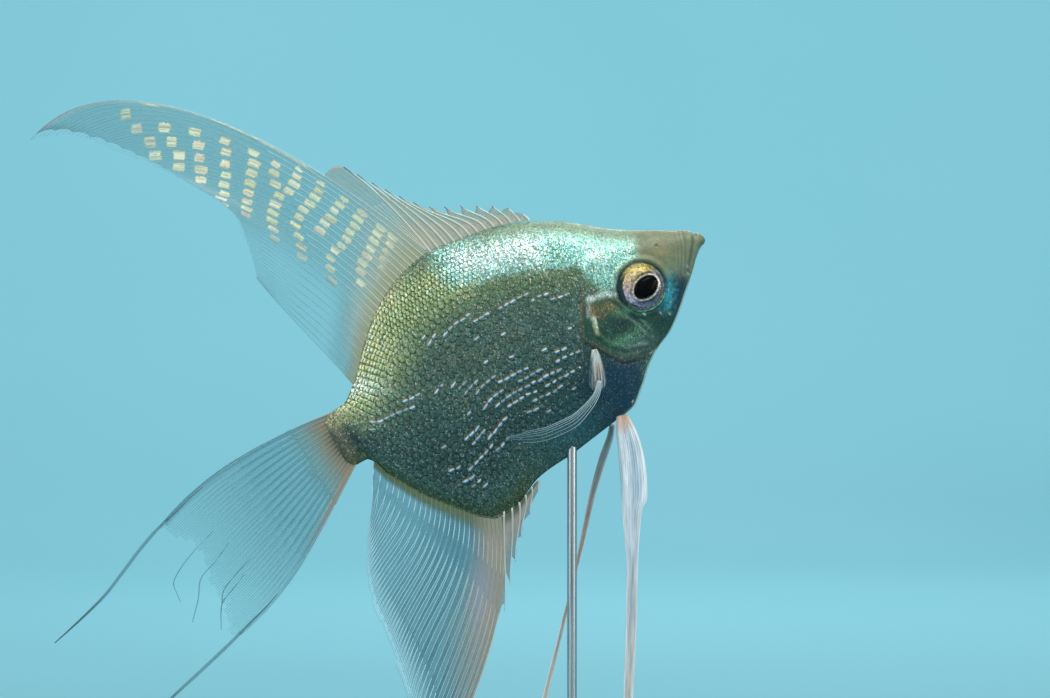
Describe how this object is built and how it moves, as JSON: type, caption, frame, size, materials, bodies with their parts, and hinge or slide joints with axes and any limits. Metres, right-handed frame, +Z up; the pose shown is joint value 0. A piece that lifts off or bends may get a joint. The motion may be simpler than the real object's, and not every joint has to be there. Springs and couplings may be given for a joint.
{
  "type": "freshwater angelfish model on a stand",
  "caption": "Life-size still freshwater angelfish with long swept fins, held nose-up by a thin rod on a flat base.",
  "frame": {"origin": "middle of the stand base's underside", "axes": "+Z up, +X the way the fish swims seen from above, +Y the fish's left side; the body itself is pitched 29 degrees nose-up"},
  "size_m": [0.1321, 0.056, 0.1519],
  "materials": {
    "head_skin": "wet-looking skin, silver-cyan on the nape, olive on the snout, dark green on the cheek",
    "flank_scales": "small iridescent scales, bright silver-cyan along the back, dark grey-olive on the flank",
    "eye": "clear polished cornea over a gold and silver iris with a black pupil",
    "fin": "clear thin membrane between fine pale rays, with rows of cream spots on the dorsal fin",
    "pelvic_fin": "milky white with fine long striae",
    "stand_wood": "dark satin wood",
    "stand_steel": "polished thin steel rod"
  },
  "bodies": {
    "root": {"head": "head_skin", "lower_jaw": "head_skin", "gill_cover_right": "head_skin", "gill_cover_left": "head_skin", "eye_right": "eye", "eye_left": "eye", "trunk": "flank_scales", "tail_stalk": "flank_scales", "dorsal_fin_spines": "fin", "dorsal_fin_sail": "fin", "anal_fin_spines": "fin", "anal_fin_sail": "fin", "tail_fin": "fin", "tail_streamer_upper": "fin", "tail_streamer_lower": "fin", "pectoral_fin_right": "fin", "pectoral_fin_left": "fin", "pelvic_fin_right": "pelvic_fin", "pelvic_fin_left": "pelvic_fin", "stand_base": "stand_wood", "stand_rod": "stand_steel"}
  },
  "joints": []
}
